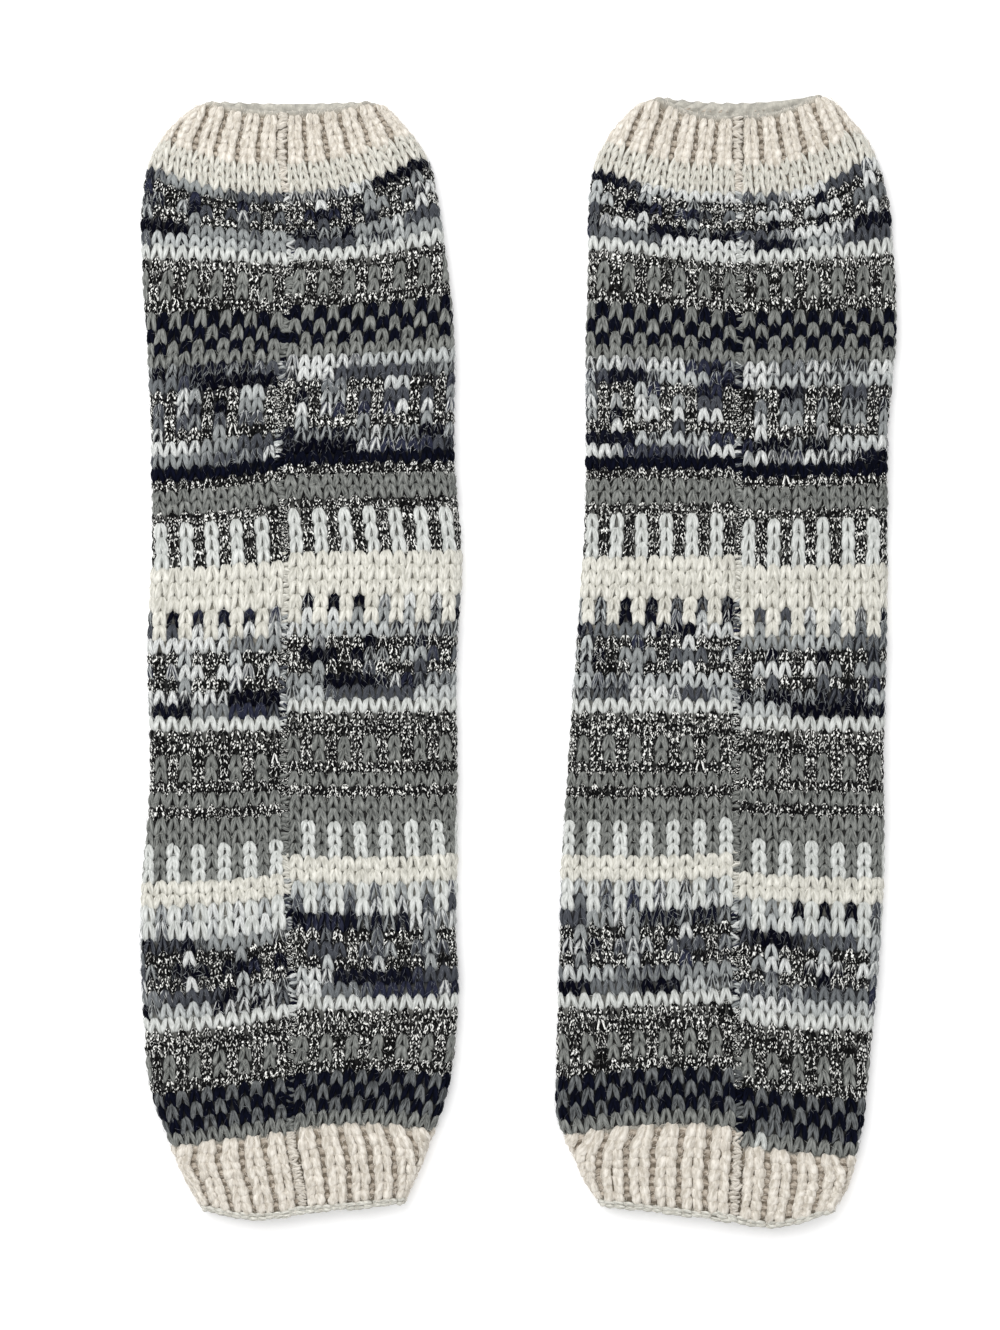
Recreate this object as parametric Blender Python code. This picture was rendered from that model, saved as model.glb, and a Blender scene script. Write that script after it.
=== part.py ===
"""A pair of knitted arm warmers lying flat side by side.

Metres, +Z up. +Y runs from the hand ends to the arm ends and +X from the left warmer to the right
one. The origin is in the middle of the pair, on the surface it lies on. Each warmer is a flattened
tube of knit: a body, a ribbed cuff at each end, and the seam strip that closes it down its face.
The tables give heights above the lowest point of the hand ends.
"""

from collections import namedtuple
from math import cos, pi, sin

import bmesh
import bpy

MM = 0.001

# The pair and its cloth, in millimetres
LENGTH = 403.2  # of the pair, from the lowest hand end to the highest arm end
WALL = 3.0  # one layer of knit with the floats behind it
HOLLOW = 1.0  # between the two layers, which lie on each other
THICK = 2 * WALL + HOLLOW
CROWN = 0.8  # the upper layer stands this much higher half way across
FOLD = 5.0  # the rounding of a folded side reaches this far in
GAP = 0.3  # between the seam strip and its bed
LINE_GAP = 0.45  # along Y between pieces, which leaves about 0.3 square to their slanted edges

# The ribs of the cuffs and the seam
RIBS_BESIDE_SEAM = 6  # on the face of a cuff, on each side of its seam
RIB_RISE = 0.35  # a crest stands this much above the body's face
RIB_SINK = 0.5  # and a valley lies this much below it
GROOVE_SINK = 1.2  # the seam strip's bed in the face
GROOVE_HALF = 2.2
GROOVE_SLOPE = 0.4
STRIP_HALF = 1.4
STRIP_RISE = 0.2
STRIP_INSET = 0.5  # the strip ends this far inside the cuffs' edges

# How finely the solids are cut
BODY_STEPS = 18
CUFF_STEPS = 5
FOLD_STEPS = 5
UNDER_STEPS = 6

# A level across a warmer: its two folded sides and its seam, all in the pair's own frame
Level = namedtuple("Level", "y left right seam")

# A line of stitches across a warmer: its height at five even places from side to side
Line = namedtuple("Line", "left left_mid middle right_mid right")

# The lines that part the pieces, hand end first; the rim has a second line for the lower layer
Warmer = namedtuple("Warmer", "name levels hem wrist elbow rim rim_below")

LEFT = Warmer(
    "left",
    [
        Level(402.0, -112.0, -50.5, -83.5),
        Level(400.5, -113.0, -49.5, -83.5),
        Level(398.5, -116.0, -46.5, -83.5),
        Level(393.0, -122.5, -41.0, -83.7),
        Level(386.0, -128.2, -35.3, -84.0),
        Level(379.0, -131.7, -31.4, -83.8),
        Level(365.0, -133.9, -28.2, -82.0),
        Level(345.0, -134.2, -25.2, -80.8),
        Level(316.0, -132.4, -22.5, -83.2),
        Level(275.0, -130.8, -22.5, -84.9),
        Level(237.0, -130.7, -19.8, -82.2),
        Level(209.0, -132.1, -21.5, -83.2),
        Level(159.0, -131.4, -21.5, -83.1),
        Level(110.0, -134.6, -21.8, -81.5),
        Level(78.0, -133.6, -21.2, -79.9),
        Level(46.0, -130.0, -25.7, -81.0),
        Level(31.5, -124.6, -31.0, -80.6),
        Level(17.5, -118.3, -36.7, -77.8),
        Level(6.0, -111.5, -43.0, -76.6),
        Level(0.0, -107.0, -49.0, -76.4),
    ],
    hem=Line(7.0, 3.2, 5.7, 7.4, 9.6),
    wrist=Line(29.8, 32.6, 35.2, 37.9, 35.8),
    elbow=Line(377.0, 369.5, 368.4, 371.0, 380.4),
    rim=Line(400.7, 396.8, 396.4, 396.8, 400.7),
    rim_below=Line(400.7, 399.4, 398.8, 399.4, 400.7),
)

RIGHT = Warmer(
    "right",
    [
        Level(404.0, 47.0, 109.5, 77.8),
        Level(402.0, 46.0, 111.0, 77.8),
        Level(399.5, 41.7, 114.0, 77.8),
        Level(394.5, 36.6, 118.0, 77.8),
        Level(388.0, 31.7, 123.6, 77.8),
        Level(381.0, 27.5, 127.5, 77.8),
        Level(370.0, 25.1, 130.8, 78.1),
        Level(345.0, 24.5, 133.6, 78.4),
        Level(317.0, 23.7, 134.4, 78.3),
        Level(285.0, 23.7, 131.6, 77.9),
        Level(250.0, 23.1, 131.4, 78.1),
        Level(215.0, 20.8, 131.2, 77.5),
        Level(175.0, 17.8, 130.2, 77.1),
        Level(130.0, 15.2, 130.0, 77.0),
        Level(90.0, 13.9, 128.0, 76.9),
        Level(55.0, 13.1, 124.5, 78.0),
        Level(41.0, 13.2, 123.2, 78.2),
        Level(26.5, 19.0, 120.4, 77.6),
        Level(12.5, 26.4, 115.8, 76.6),
        Level(6.0, 31.0, 111.5, 76.2),
        Level(0.0, 36.0, 106.0, 76.0),
    ],
    hem=Line(9.0, 6.4, 3.2, 0.0, 5.6),
    wrist=Line(34.0, 37.6, 33.2, 26.9, 25.2),
    elbow=Line(376.2, 369.5, 368.4, 369.9, 380.6),
    rim=Line(402.4, 395.4, 394.7, 396.5, 403.2),
    rim_below=Line(402.4, 399.0, 398.0, 399.6, 403.2),
)

COTTON = (0.72, 0.66, 0.57, 1)
STRANDED = (0.22, 0.22, 0.24, 1)


def smooth(places, values, at):
    """The value at a place on a smooth curve through values that are known at places."""
    last = len(places) - 1
    k = 0
    while k < last - 1 and at > places[k + 1]:
        k += 1
    slopes = []
    for j in (k, k + 1):
        low, high = max(j - 1, 0), min(j + 1, last)
        slopes.append((values[high] - values[low]) / (places[high] - places[low]))
    run = places[k + 1] - places[k]
    t = min(max((at - places[k]) / run, 0.0), 1.0)
    near, far = values[k], values[k + 1]
    return (
        near * (1 + 2 * t) * (1 - t) ** 2
        + far * t * t * (3 - 2 * t)
        + run * t * (1 - t) * (slopes[0] * (1 - t) - slopes[1] * t)
    )


def level_at(warmer, y):
    """The folded sides and the seam of a warmer at a height."""
    rising = sorted(warmer.levels)
    heights = [level.y for level in rising]
    values = [smooth(heights, [level[k] for level in rising], y) for k in (1, 2, 3)]
    return Level(y, *values)


def height_on(line, across):
    """The height of a line of stitches at a share of the way from the left side to the right."""
    return smooth([k / 4 for k in range(5)], line, across)


def between(low, high, share):
    return Line(*(a + (b - a) * share for a, b in zip(low, high)))


def moved(line, step):
    return Line(*(y + step for y in line))


def face_profile(level, ribbed):
    """Places across the upper layer between the folds, as (x, outer height), left to right.

    A plain face has the same number of feet as a ribbed one, and no crests between them.
    """
    crest = THICK + RIB_RISE
    valley = THICK - (RIB_SINK if ribbed else 0)
    bed = THICK - GROOVE_SINK
    start, end = level.left + FOLD, level.right - FOLD
    bed_left, bed_right = level.seam - GROOVE_HALF, level.seam + GROOVE_HALF
    points = [(start, valley)]
    for low, high in ((start, bed_left), (bed_right, end)):
        pitch = (high - low) / RIBS_BESIDE_SEAM
        for k in range(RIBS_BESIDE_SEAM):
            foot = low + k * pitch
            if ribbed:
                points += [(foot + 0.3 * pitch, crest), (foot + 0.7 * pitch, crest)]
            points.append((foot + pitch, valley))
        if high == bed_left:
            points.append((bed_left + GROOVE_SLOPE, bed))
            points.append((bed_right - GROOVE_SLOPE, bed))
            points.append((bed_right, valley))
    return points


def share_at(level, x):
    """How far a place is across the flat of a warmer, from 0 at the left fold to 1 at the right."""
    return (x - level.left - FOLD) / (level.right - level.left - 2 * FOLD)


def spot(warmer, line, share):
    """The place on a line of stitches at a share of the way across the flat of a warmer."""
    y = height_on(line, share)
    level = level_at(warmer, y)
    return level.left + FOLD + share * (level.right - level.left - 2 * FOLD), y


def ring(warmer, upper, lower, ribbed, inner):
    """One closed ring of points round a warmer, up the left fold, over the face and back below."""
    places = []  # (share across, on the upper layer, offset into the fold, height)
    reach = FOLD - WALL if inner else FOLD
    rise = THICK / 2 - WALL if inner else THICK / 2
    middle = level_at(warmer, height_on(upper, 0.5))
    for k in range(FOLD_STEPS):
        turn = pi * k / FOLD_STEPS
        places.append((0.0, True, -reach * sin(turn), THICK / 2 - rise * cos(turn)))
    for x, z in face_profile(middle, ribbed):
        share = share_at(middle, x)
        crown = CROWN * sin(pi * share)
        places.append((share, True, 0.0, crown + (THICK - WALL if inner else z)))
    for k in range(1, FOLD_STEPS + 1):
        turn = pi * k / FOLD_STEPS
        places.append((1.0, True, reach * sin(turn), THICK / 2 + rise * cos(turn)))
    for k in range(UNDER_STEPS - 1, 0, -1):
        places.append((k / UNDER_STEPS, False, 0.0, WALL if inner else 0.0))
    points = []
    for share, on_top, inset, z in places:
        x, y = spot(warmer, upper if on_top else lower, share)
        points.append((x + inset, y, z))
    return points


def placed(point):
    """A point of the tables, in metres in the pair's own frame."""
    x, y, z = point
    return x * MM, (y - LENGTH / 2) * MM, z * MM


def loft(name, rings, colour, collection):
    """A closed solid through rings of equally many points, the last ring joined to the first."""
    mesh = bmesh.new()
    loops = []
    for points in rings:
        verts = [mesh.verts.new(placed(p)) for p in points]
        loops.append([mesh.edges.new((verts[k - 1], verts[k])) for k in range(len(verts))])
    for k, loop in enumerate(loops):
        bmesh.ops.bridge_loops(mesh, edges=loops[k - 1] + loop)
    bmesh.ops.recalc_face_normals(mesh, faces=mesh.faces)
    return finish(name, mesh, colour, collection)


def finish(name, mesh, colour, collection):
    """Makes the object of a finished mesh, with its material."""
    data = bpy.data.meshes.new(name)
    mesh.to_mesh(data)
    mesh.free()
    data.shade_smooth()
    data.set_sharp_from_angle(angle=pi / 5)
    material = bpy.data.materials.new(name)
    material.use_nodes = True
    shader = material.node_tree.nodes["Principled BSDF"]
    shader.inputs["Base Color"].default_value = colour
    shader.inputs["Roughness"].default_value = 0.9
    shader.inputs["Metallic"].default_value = 0.0
    data.materials.append(material)
    piece = bpy.data.objects.new(name, data)
    collection.objects.link(piece)
    return piece


def tube(warmer, part, low, high, steps, ribbed, collection):
    """A stretch of a warmer between two pairs of lines, each pair an upper and a lower layer's."""
    outer, inner = [], []
    for k in range(steps + 1):
        upper = between(low[0], high[0], k / steps)
        lower = between(low[1], high[1], k / steps)
        outer.append(ring(warmer, upper, lower, ribbed, inner=False))
        inner.append(ring(warmer, upper, lower, ribbed, inner=True))
    colour = COTTON if ribbed else STRANDED
    return loft(f"{warmer.name}_{part}", outer + inner[::-1], colour, collection)


def seam_strip(warmer, collection):
    """The linked seam: a strip in the bed that runs down the face, from hem to rim."""
    bottom, top = THICK - GROOVE_SINK + GAP, THICK + STRIP_RISE
    stations = []
    for low, high, steps in (
        (moved(warmer.hem, STRIP_INSET), warmer.wrist, CUFF_STEPS),
        (warmer.wrist, warmer.elbow, BODY_STEPS),
        (warmer.elbow, moved(warmer.rim, -STRIP_INSET), CUFF_STEPS),
    ):
        first = 1 if stations else 0
        stations += [between(low, high, k / steps) for k in range(first, steps + 1)]
    mesh = bmesh.new()
    loops = []
    for line in stations:
        middle = level_at(warmer, height_on(line, 0.5))
        share = share_at(middle, middle.seam)
        x, y = spot(warmer, line, share)
        crown = CROWN * sin(pi * share)
        corners = [
            (x - STRIP_HALF, y, crown + bottom),
            (x - STRIP_HALF, y, crown + top),
            (x + STRIP_HALF, y, crown + top),
            (x + STRIP_HALF, y, crown + bottom),
        ]
        verts = [mesh.verts.new(placed(p)) for p in corners]
        loops.append([mesh.edges.new((verts[k - 1], verts[k])) for k in range(4)])
    for near, far in zip(loops, loops[1:]):
        bmesh.ops.bridge_loops(mesh, edges=near + far)
    bmesh.ops.holes_fill(mesh, edges=loops[0] + loops[-1], sides=4)
    bmesh.ops.recalc_face_normals(mesh, faces=mesh.faces)
    return finish(f"{warmer.name}_seam", mesh, STRANDED, collection)


def arm_warmer(warmer, collection):
    half = LINE_GAP / 2
    wrist_low, wrist_high = moved(warmer.wrist, -half), moved(warmer.wrist, half)
    elbow_low, elbow_high = moved(warmer.elbow, -half), moved(warmer.elbow, half)
    hem, rim = (warmer.hem, warmer.hem), (warmer.rim, warmer.rim_below)
    tube(warmer, "hand_cuff", hem, (wrist_low, wrist_low), CUFF_STEPS, True, collection)
    tube(
        warmer,
        "body",
        (wrist_high, wrist_high),
        (elbow_low, elbow_low),
        BODY_STEPS,
        False,
        collection,
    )
    tube(warmer, "arm_cuff", (elbow_high, elbow_high), rim, CUFF_STEPS, True, collection)
    seam_strip(warmer, collection)


def main():
    for old in list(bpy.data.objects):
        bpy.data.objects.remove(old, do_unlink=True)
    collection = bpy.data.collections.new("knitted arm warmers")
    bpy.context.scene.collection.children.link(collection)
    for warmer in (LEFT, RIGHT):
        arm_warmer(warmer, collection)


main()
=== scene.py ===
from math import acos, atan2, pi

import bmesh
import bpy
import numpy as np
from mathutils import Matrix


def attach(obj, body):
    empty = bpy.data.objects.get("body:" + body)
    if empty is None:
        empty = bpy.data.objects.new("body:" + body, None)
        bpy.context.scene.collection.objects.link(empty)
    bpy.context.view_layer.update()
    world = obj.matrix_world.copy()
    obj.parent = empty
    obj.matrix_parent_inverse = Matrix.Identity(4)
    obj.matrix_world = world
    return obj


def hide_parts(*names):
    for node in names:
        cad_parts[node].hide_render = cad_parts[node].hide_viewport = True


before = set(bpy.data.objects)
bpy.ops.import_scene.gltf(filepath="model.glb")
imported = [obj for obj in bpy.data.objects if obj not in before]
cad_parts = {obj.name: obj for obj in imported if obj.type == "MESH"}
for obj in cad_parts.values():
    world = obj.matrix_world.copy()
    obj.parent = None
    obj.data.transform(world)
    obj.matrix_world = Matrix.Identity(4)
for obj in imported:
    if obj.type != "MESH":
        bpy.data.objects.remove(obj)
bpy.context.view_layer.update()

MM = 0.001

# The table that the pair lies on
# A smooth white board, wide enough to run out of sight on every side. It isn't part of the pair.
TABLE_HALF = 12.0  # metres
TABLE_WHITE = (0.95, 0.95, 0.95, 1.0)
TABLE_GLOW = 0.18  # it is lit from below as well, which thins the shadows on it

board = bmesh.new()
bmesh.ops.create_grid(board, x_segments=1, y_segments=1, size=TABLE_HALF)
table_mesh = bpy.data.meshes.new("table_top")
board.to_mesh(table_mesh)
board.free()
table_top = bpy.data.objects.new("table_top", table_mesh)
bpy.context.collection.objects.link(table_top)
table_paint = bpy.data.materials.new("white_board")
table_paint.use_nodes = True
table_shader = table_paint.node_tree.nodes["Principled BSDF"]
table_shader.inputs["Base Color"].default_value = TABLE_WHITE
table_shader.inputs["Roughness"].default_value = 0.7
table_shader.inputs["Emission Color"].default_value = TABLE_WHITE
table_shader.inputs["Emission Strength"].default_value = TABLE_GLOW
table_mesh.materials.append(table_paint)

# Camera and lamps
# The camera hangs straight over the pair. A wide soft box stands off its upper left corner, and a
# white room fills the rest, so that the knit's relief shows with hardly a shadow beside it.
CAMERA_OVER = (-0.0066, -0.0009)
CAMERA_HIGH = 1.507
CAMERA_SEES = 0.3546  # metres across, at the height of the cloth
CLOTH_HIGH = 0.007
SENSOR = 36.0
KEY_PLACE = (-0.55, 0.65, 1.1)
KEY_TURN = (-0.53, -0.43, 0.0)
KEY_SIZE = 1.2
KEY_WATTS = 13.0
ROOM_WHITE = (1.0, 1.0, 1.0, 1.0)
ROOM_LIGHT = 0.82

camera_data = bpy.data.cameras.new("overhead_camera")
camera_data.sensor_fit = "HORIZONTAL"
camera_data.sensor_width = SENSOR
camera_data.lens = SENSOR * (CAMERA_HIGH - CLOTH_HIGH) / CAMERA_SEES
camera = bpy.data.objects.new("overhead_camera", camera_data)
camera.location = (*CAMERA_OVER, CAMERA_HIGH)
bpy.context.collection.objects.link(camera)
bpy.context.scene.camera = camera

key_lamp = bpy.data.lights.new("key_box", "AREA")
key_lamp.size = KEY_SIZE
key_lamp.energy = KEY_WATTS
key_box = bpy.data.objects.new("key_box", key_lamp)
key_box.location = KEY_PLACE
key_box.rotation_euler = KEY_TURN
bpy.context.collection.objects.link(key_box)

room = bpy.data.worlds.new("white_room")
room.use_nodes = True
room_light = room.node_tree.nodes["Background"]
room_light.inputs["Color"].default_value = ROOM_WHITE
room_light.inputs["Strength"].default_value = ROOM_LIGHT
bpy.context.scene.world = room
bpy.context.scene.view_settings.view_transform = "Standard"

# The two tubes of cloth
# Each warmer is a flat-knitted piece sewn into a tube and pressed flat. A place on it is a wale,
# counted round from the right side of its seam, and a course, counted down from the body's top.
WALES = 46
BODY_COURSES = 75
RIM_COURSE = -8  # the arm cuff runs from here to course 0
HEM_COURSE = 83  # and the hand cuff from the body's last course to here
LENGTH = 403.2
SEAM_GAP = 1.2  # mm from the seam's middle to the first wale
FOLD = 3.5  # how far in a folded side's rounding reaches
PROUD = 0.6  # the yarn stands this far out of the cloth's own surface
TOP = 6.9  # the upper layer's height at its sides
CROWN = 0.8
BOTTOM = 0.9  # the lower layer's surface, whose yarn reaches down to the table

# Across the face of a warmer there are this many wales, at courses from the rim to the hem
FACE_WALES = (
    [-8, -6.5, -3, 0, 60, 69, 75, 77, 83],
    [20.2, 22.4, 23.6, 24.2, 24.2, 24.5, 23.4, 20.6, 18.4],
)

# Heights above the hand end, in mm, of a course at its left fold, left middle, seam's left and
# right side, right middle, right fold and at the middle of the lower layer
KEY_COURSES = [RIM_COURSE, 0, 6.5, 23.5, 42.5, 65.5, BODY_COURSES, HEM_COURSE]
HEIGHTS = {
    "left": [
        (400.9, 397.9, 397.2, 397.2, 397.9, 400.9, 400.2),
        (377.0, 369.5, 368.4, 368.4, 371.0, 380.4, 377.0),
        (348.2, 347.2, 345.4, 346.4, 347.5, 352.8, 350.0),
        (268.4, 269.8, 272.3, 273.0, 273.7, 274.5, 271.0),
        (179.8, 179.8, 180.1, 186.2, 186.2, 186.5, 183.0),
        (72.0, 73.8, 77.7, 80.5, 80.1, 80.8, 76.0),
        (29.8, 32.6, 34.8, 35.5, 37.9, 35.8, 32.0),
        (6.8, 3.8, 6.5, 6.4, 7.6, 9.4, 9.8),
    ],
    "right": [
        (402.4, 396.4, 395.8, 395.8, 397.2, 403.2, 400.4),
        (376.2, 369.5, 368.4, 368.4, 369.9, 380.6, 377.0),
        (351.8, 348.9, 346.4, 346.1, 347.5, 350.3, 350.0),
        (272.3, 272.3, 272.3, 269.5, 270.2, 270.9, 271.0),
        (185.8, 185.8, 185.8, 180.5, 180.1, 180.1, 183.0),
        (80.8, 81.6, 83.0, 76.9, 74.5, 73.4, 77.0),
        (34.0, 37.6, 36.5, 29.4, 26.9, 25.2, 31.0),
        (8.6, 5.8, 3.2, 2.4, 0.6, 4.8, 7.4),
    ],
}

# Rows of loose wool lie further apart and rows of foil yarn closer together, and so courses lie
# this many mm nearer the hand than even ones would, on the left and the right side of the seam
UNEVEN_COURSES = [
    0, 6, 11, 12.5, 15, 24, 28, 31, 34, 37, 42, 46, 50, 52, 55.5, 57, 59, 60, 65, 68, 71.5, 75,
]
UNEVEN = {
    "left": (
        [0, 0.7, 2.8, 3.9, 2.5, 0.3, -2.8, -1.1, 0.3, 0.7, 0.3, -0.3, -1.4, -1.4, -2.8, -3.9,
         -1.1, -1.1, -0.7, -1.0, -1.9, -0.3],
        [0, 0.1, 1.0, 1.9, 1.1, -0.7, -2.8, -1.1, 0.0, 0.7, 0.0, -0.4, -2.3, -2.5, -4.2, -4.2,
         -2.5, -1.4, -0.7, -0.4, -1.8, -0.3],
    ),
    "right": (
        [0, 1.4, 3.2, 4.6, 3.5, -0.3, -2.1, -0.5, 0.3, 0.0, -0.3, -0.7, -1.4, -2.1, -3.5, -3.9,
         -2.5, -1.4, -0.5, -0.7, -1.7, -0.3],
        [0, 0.7, 2.8, 3.0, 2.1, 0.3, -3.1, -0.7, 0.0, 0.0, 0.3, 0.0, -1.2, -0.8, -2.1, -2.3,
         0.0, 0.6, 0.0, 0.0, -2.8, -1.2],
    ),
}

# Left side, right side and seam, in mm, at heights above the hand end
OUTLINE = {
    "left": [
        (0, -107, -49, -76.4), (6, -111.5, -43, -76.6), (17.5, -118.3, -36.7, -77.8),
        (31.5, -124.6, -31, -80.6), (46, -130, -25.7, -81.0), (78, -133.6, -21.2, -79.9),
        (110, -134.6, -21.8, -81.5), (159, -131.4, -21.5, -83.1), (209, -132.1, -21.5, -83.2),
        (237, -130.7, -19.8, -82.2), (275, -130.8, -22.5, -84.9), (316, -132.4, -22.5, -83.2),
        (345, -134.2, -25.2, -80.8), (365, -133.9, -28.2, -82), (379, -131.7, -31.4, -83.8),
        (386, -128.2, -35.3, -84), (393, -122.5, -41, -83.7), (398.5, -116, -46.5, -83.5),
        (400.5, -113, -49.5, -83.5), (402, -112, -50.5, -83.5),
    ],
    "right": [
        (0, 36, 106, 76), (6, 31, 111.5, 76.2), (12.5, 26.4, 115.8, 76.6),
        (26.5, 19, 120.4, 77.6), (41, 13.2, 123.2, 78.2), (55, 13.1, 124.5, 78),
        (90, 13.9, 128, 76.9), (130, 15.2, 130, 77), (175, 17.8, 130.2, 77.1),
        (215, 20.8, 131.2, 77.5), (250, 23.1, 131.4, 78.1), (285, 23.7, 131.6, 77.9),
        (317, 23.7, 134.4, 78.3), (345, 24.5, 133.6, 78.4), (370, 25.1, 130.8, 78.1),
        (381, 27.5, 127.5, 77.8), (388, 31.7, 123.6, 77.8), (394.5, 36.6, 118, 77.8),
        (399.5, 41.7, 114, 77.8), (402, 46, 111, 77.8), (404, 47, 109.5, 77.8),
    ],
}

# Soft troughs (negative) and ridges of the upper layer: middle x and y, direction in radians,
# half length, half width and depth, all in mm but the direction
CREASES = [
    (-110.0, 150.0, 0.5, 40.0, 9.0, -0.7), (-45.0, 120.0, -0.4, 46.0, 11.0, -0.6),
    (-88.0, 60.0, 1.3, 60.0, 14.0, 0.5), (-60.0, 10.0, 0.2, 50.0, 12.0, -0.6),
    (-112.0, -40.0, -0.3, 38.0, 10.0, -0.6), (-50.0, -95.0, 0.7, 45.0, 12.0, 0.5),
    (-98.0, -140.0, -0.8, 44.0, 9.0, -0.8), (-48.0, -150.0, 0.5, 36.0, 9.0, -0.7),
    (48.0, 140.0, -0.5, 44.0, 10.0, -0.7), (108.0, 110.0, 0.4, 42.0, 11.0, -0.6),
    (60.0, 40.0, 1.4, 62.0, 14.0, 0.5), (106.0, 5.0, -0.2, 46.0, 12.0, -0.6),
    (44.0, -50.0, 0.3, 40.0, 10.0, -0.6), (98.0, -90.0, -0.6, 46.0, 12.0, 0.5),
    (46.0, -140.0, 0.8, 42.0, 9.0, -0.8), (104.0, -150.0, -0.5, 38.0, 9.0, -0.7),
]


def through(knots, values, at):
    """A smooth line through the knots, read at any places and run on straight past its ends."""
    knots = np.asarray(knots, float)
    values = np.asarray(values, float)
    slopes = np.gradient(values, knots)
    held = np.clip(at, knots[0], knots[-1])
    below = np.clip(np.searchsorted(knots, held, side="right") - 1, 0, len(knots) - 2)
    run = knots[below + 1] - knots[below]
    t = (held - knots[below]) / run
    line = values[below] + (values[below + 1] - values[below]) * t * t * (3 - 2 * t)
    line = line + run * (slopes[below] * t * (1 - t) ** 2 - slopes[below + 1] * t * t * (1 - t))
    past = at - held
    return line + past * np.where(past > 0, slopes[-1], slopes[0])


def bowed(start, middle, end, share):
    """A line through three even places."""
    return (
        start * (1 - share) * (1 - 2 * share)
        + middle * 4 * share * (1 - share)
        + end * share * (2 * share - 1)
    )


def unit(vectors):
    return vectors / np.maximum(np.linalg.norm(vectors, axis=-1, keepdims=True), 1e-9)


class Tube:
    """One warmer's cloth, pressed flat."""

    def __init__(self, side):
        self.side = side
        self.columns = np.array(HEIGHTS[side], float).T
        self.uneven = np.array([UNEVEN[side][n] for n in (0, 0, 0, 1, 1, 1)])
        self.uneven = np.concatenate([self.uneven, np.mean(UNEVEN[side], axis=0)[None]])
        self.outline = np.array(OUTLINE[side], float).T

    def surface(self, wale, course):
        """Points in mm of the cloth's surface."""
        wale, course = np.broadcast_arrays(np.asarray(wale, float), np.asarray(course, float))
        left, left_mid, seam_l, seam_r, right_mid, right, under = (
            through(KEY_COURSES, column, course) - np.interp(course, UNEVEN_COURSES, shift)
            for column, shift in zip(self.columns, self.uneven)
        )
        levels, left_line, right_line, seam_line = self.outline
        edge_l = through(levels, left_line, left) + PROUD
        edge_r = through(levels, right_line, right) - PROUD
        seam = through(levels, seam_line, (seam_l + seam_r) / 2)
        # The way round the tube from the seam's middle: over the right of the face, round a fold,
        # along the lower layer, round the other fold and back over the left of the face
        quarter = FOLD * pi / 2
        face_r = edge_r - FOLD - seam
        face_l = seam - edge_l - FOLD
        flat = edge_r - edge_l - 2 * FOLD
        pitch = (edge_r - edge_l) / np.interp(course, *FACE_WALES)
        wales_r = (face_r + quarter - SEAM_GAP) / pitch
        wales_l = (face_l + quarter - SEAM_GAP) / pitch
        under_pitch = (flat + 2 * quarter) / (WALES - wales_r - wales_l)
        fold_r = face_r
        lower = fold_r + 2 * quarter
        fold_l = lower + flat
        back_up = fold_l + 2 * quarter
        whole = back_up + face_l
        way = np.where(
            wale < wales_r,
            SEAM_GAP + wale * pitch,
            np.where(
                wale < WALES - wales_l,
                fold_r + quarter + (wale - wales_r) * under_pitch,
                whole - SEAM_GAP - (WALES - wale) * pitch,
            ),
        )
        # Where that way leads, first across and along the warmer and then in height
        turn_r = np.clip((way - fold_r) / FOLD, 0, pi)
        turn_l = np.clip((way - fold_l) / FOLD, 0, pi)
        right_face = way < fold_r
        left_face = way >= back_up
        x = np.where(right_face, seam + way, edge_r - FOLD + FOLD * np.sin(turn_r))
        x = np.where(way >= lower, edge_r - FOLD - (way - lower), x)
        x = np.where(way >= fold_l, edge_l + FOLD - FOLD * np.sin(turn_l), x)
        x = np.where(left_face, edge_l + FOLD + way - back_up, x)
        y = np.where(right_face, bowed(seam_r, right_mid, right, way / face_r), right)
        y = np.where(way >= lower, bowed(right, under, left, (way - lower) / flat), y)
        y = np.where(way >= fold_l, left, y)
        y = np.where(left_face, bowed(left, left_mid, seam_l, (way - back_up) / face_l), y)
        share = np.clip((x - edge_l - FOLD) / flat, 0, 1)
        upper = TOP + CROWN * np.sin(pi * share) + self.creased(x, y, share)
        rise = np.where(right_face | left_face, 1.0, 0.0)
        rise = np.where((way >= fold_r) & (way < lower), 0.5 + 0.5 * np.cos(turn_r), rise)
        rise = np.where((way >= fold_l) & (way < back_up), 0.5 - 0.5 * np.cos(turn_l), rise)
        z = BOTTOM + (upper - BOTTOM) * rise
        return np.stack([x, y - LENGTH / 2, z], axis=-1)

    def creased(self, x, y, share):
        """The height of the troughs and ridges, which die away towards the folds."""
        depth = np.zeros_like(x)
        for middle_x, middle_y, turn, long, wide, deep in CREASES:
            over_x = x - middle_x
            over_y = y - LENGTH / 2 - middle_y
            along = (over_x * np.cos(turn) + over_y * np.sin(turn)) / long
            across = (over_y * np.cos(turn) - over_x * np.sin(turn)) / wide
            depth = depth + deep * np.exp(-along**2 - across**2)
        return depth * np.clip(4 * share * (1 - share) * 2, 0, 1)

    def outward(self, wale, course):
        """Directions square to the surface, worked out from its slopes."""
        step = 0.02
        across = self.surface(wale + step, course) - self.surface(wale - step, course)
        down = self.surface(wale, course + step) - self.surface(wale, course - step)
        return unit(np.cross(down, across))

    def at(self, wale, course, lift):
        """Points in mm that stand out of the cloth's surface by lift."""
        return self.surface(wale, course) + self.outward(wale, course) * np.asarray(lift)[..., None]

    def width_of_wale(self, wale, course):
        return np.linalg.norm(
            self.surface(wale + 0.5, course) - self.surface(wale - 0.5, course), axis=-1
        )


TUBES = [Tube("left"), Tube("right")]

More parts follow.
